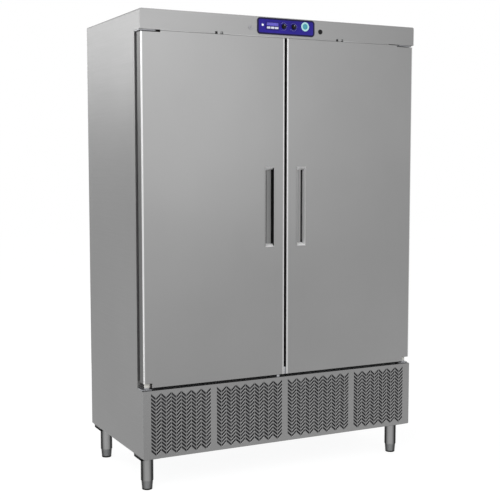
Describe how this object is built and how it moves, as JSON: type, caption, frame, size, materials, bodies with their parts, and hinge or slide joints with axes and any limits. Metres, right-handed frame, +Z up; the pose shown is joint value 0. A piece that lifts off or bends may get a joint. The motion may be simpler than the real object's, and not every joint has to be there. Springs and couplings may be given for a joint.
{
  "type": "commercial fridge freezer",
  "caption": "Upright two-door stainless steel commercial fridge freezer on legs, with a header control panel, recessed handles and a slotted machine grille",
  "frame": {"origin": "on the floor, under the middle of the part's bounding box", "axes": "+X to the viewer's right when facing the doors, +Y from the doors to the back, +Z up"},
  "size_m": [1.385, 0.72, 2.07],
  "materials": {
    "cabinet_steel": "fine brushed stainless steel",
    "door_steel": "fine brushed stainless steel",
    "liner_steel": "bright rolled stainless steel",
    "galvanised_steel": "dull zinc-coated sheet",
    "leg_steel": "brushed stainless tube",
    "hinge_steel": "dull zinc-plated steel",
    "insulation_foam": "rigid polyurethane foam",
    "panel_plastic": "smooth blue overlay",
    "black_plastic": "fine matt black",
    "display_lens": "smooth tinted display window",
    "knob_plastic": "satin black",
    "button_plastic": "soft white keys",
    "lamp_lens": "smooth translucent lens",
    "lock_metal": "plated lock",
    "gasket_rubber": "soft grey magnetic gasket",
    "handle_plastic": "grey moulded plastic",
    "bush_nylon": "natural nylon",
    "foot_plastic": "grey moulded plastic",
    "shelf_wire": "plastic-coated steel wire",
    "coil_aluminium": "fine aluminium fins",
    "motor_casting": "dark painted steel",
    "compressor_shell": "gloss black enamel",
    "copper": "bare copper tube",
    "fan_plastic": "black moulded plastic"
  },
  "bodies": {
    "cabinet": {"side_panel_left": "cabinet_steel", "side_panel_right": "cabinet_steel", "back_panel": "galvanised_steel", "top_panel": "galvanised_steel", "cabinet_foam": "insulation_foam", "compartment_liners": "liner_steel", "front_frame": "cabinet_steel", "header_fascia": "cabinet_steel", "control_panel": "panel_plastic", "controller": "black_plastic", "controller_display": "display_lens", "thermostats": "black_plastic", "pilot_lamps": "lamp_lens", "lock_barrels": "lock_metal", "door_sensors": "black_plastic", "hinge_brackets": "hinge_steel", "base_frame": "galvanised_steel", "grille_panel": "cabinet_steel", "rear_cover": "galvanised_steel", "cable_gland": "black_plastic", "legs": "leg_steel", "shelf_uprights": "liner_steel", "shelf_runners": "liner_steel", "wire_shelves": "shelf_wire", "evaporator_covers": "liner_steel", "evaporator_coils": "coil_aluminium", "evaporator_motors": "motor_casting", "condensers": "coil_aluminium", "condenser_fan_frames": "motor_casting", "compressors": "compressor_shell", "pipework": "copper", "defrost_tray": "galvanised_steel", "drain_tubes": "fan_plastic"},
    "door_left": {"door_skin_left": "door_steel", "door_core_left": "insulation_foam", "door_inner_panel_left": "liner_steel", "door_gasket_left": "gasket_rubber", "door_handle_left": "handle_plastic", "hinge_bushes_left": "bush_nylon"},
    "door_right": {"door_skin_right": "door_steel", "door_core_right": "insulation_foam", "door_inner_panel_right": "liner_steel", "door_gasket_right": "gasket_rubber", "door_handle_right": "handle_plastic", "hinge_bushes_right": "bush_nylon"},
    "lock_left": {"lock_plug_left": "lock_metal"},
    "lock_right": {"lock_plug_right": "lock_metal"},
    "knob_fridge": {"knob_fridge": "knob_plastic"},
    "knob_freezer": {"knob_freezer": "knob_plastic"},
    "button_1": {"button_1": "button_plastic"},
    "button_2": {"button_2": "button_plastic"},
    "button_3": {"button_3": "button_plastic"},
    "evaporator_fan_left": {"evaporator_fan_left": "fan_plastic"},
    "evaporator_fan_right": {"evaporator_fan_right": "fan_plastic"},
    "condenser_fan_left": {"condenser_fan_left": "fan_plastic"},
    "condenser_fan_right": {"condenser_fan_right": "fan_plastic"},
    "foot_front_left": {"foot_front_left": "foot_plastic"},
    "foot_front_right": {"foot_front_right": "foot_plastic"},
    "foot_back_left": {"foot_back_left": "foot_plastic"},
    "foot_back_right": {"foot_back_right": "foot_plastic"}
  },
  "joints": [
    {"name": "door_left_hinge", "type": "hinge", "parent": "cabinet", "child": "door_left", "pos_m": [-0.6645, -0.322, 0.46], "axis": [0, 0, -1], "range_deg": [0, 110], "stiffness_Nm_per_rad": 1.5, "springref_deg": -57.3},
    {"name": "door_right_hinge", "type": "hinge", "parent": "cabinet", "child": "door_right", "pos_m": [0.6645, -0.322, 0.46], "axis": [0, 0, 1], "range_deg": [0, 110], "stiffness_Nm_per_rad": 1.5, "springref_deg": -57.3},
    {"name": "lock_left_turn", "type": "hinge", "parent": "cabinet", "child": "lock_left", "pos_m": [-0.1765, -0.346, 2.02], "axis": [0, -1, 0], "range_deg": [0, 90]},
    {"name": "lock_right_turn", "type": "hinge", "parent": "cabinet", "child": "lock_right", "pos_m": [0.1765, -0.346, 2.02], "axis": [0, 1, 0], "range_deg": [0, 90]},
    {"name": "knob_fridge_turn", "type": "hinge", "parent": "cabinet", "child": "knob_fridge", "pos_m": [-0.014, -0.35, 2.033], "axis": [0, 1, 0], "range_deg": [-135, 135]},
    {"name": "knob_freezer_turn", "type": "hinge", "parent": "cabinet", "child": "knob_freezer", "pos_m": [0.036, -0.35, 2.033], "axis": [0, 1, 0], "range_deg": [-135, 135]},
    {"name": "button_1_press", "type": "slide", "parent": "cabinet", "child": "button_1", "axis": [0, 1, 0], "range_m": [0, 0.0008], "stiffness_N_per_m": 400, "springref_m": -0.001},
    {"name": "button_2_press", "type": "slide", "parent": "cabinet", "child": "button_2", "axis": [0, 1, 0], "range_m": [0, 0.0008], "stiffness_N_per_m": 400, "springref_m": -0.001},
    {"name": "button_3_press", "type": "slide", "parent": "cabinet", "child": "button_3", "axis": [0, 1, 0], "range_m": [0, 0.0008], "stiffness_N_per_m": 400, "springref_m": -0.001},
    {"name": "foot_front_left_height", "type": "slide", "parent": "cabinet", "child": "foot_front_left", "axis": [0, 0, -1], "range_m": [0, 0.03]},
    {"name": "foot_front_right_height", "type": "slide", "parent": "cabinet", "child": "foot_front_right", "axis": [0, 0, -1], "range_m": [0, 0.03]},
    {"name": "foot_back_left_height", "type": "slide", "parent": "cabinet", "child": "foot_back_left", "axis": [0, 0, -1], "range_m": [0, 0.03]},
    {"name": "foot_back_right_height", "type": "slide", "parent": "cabinet", "child": "foot_back_right", "axis": [0, 0, -1], "range_m": [0, 0.03]},
    {"name": "evaporator_fan_left_spin", "type": "hinge", "parent": "cabinet", "child": "evaporator_fan_left", "pos_m": [-0.33825, -0.1265, 1.843], "axis": [0, 1, 0], "continuous": true},
    {"name": "condenser_fan_left_spin", "type": "hinge", "parent": "cabinet", "child": "condenser_fan_left", "pos_m": [-0.346, -0.25, 0.271], "axis": [0, 1, 0], "continuous": true},
    {"name": "evaporator_fan_right_spin", "type": "hinge", "parent": "cabinet", "child": "evaporator_fan_right", "pos_m": [0.33825, -0.1265, 1.843], "axis": [0, 1, 0], "continuous": true},
    {"name": "condenser_fan_right_spin", "type": "hinge", "parent": "cabinet", "child": "condenser_fan_right", "pos_m": [0.346, -0.25, 0.271], "axis": [0, 1, 0], "continuous": true}
  ]
}
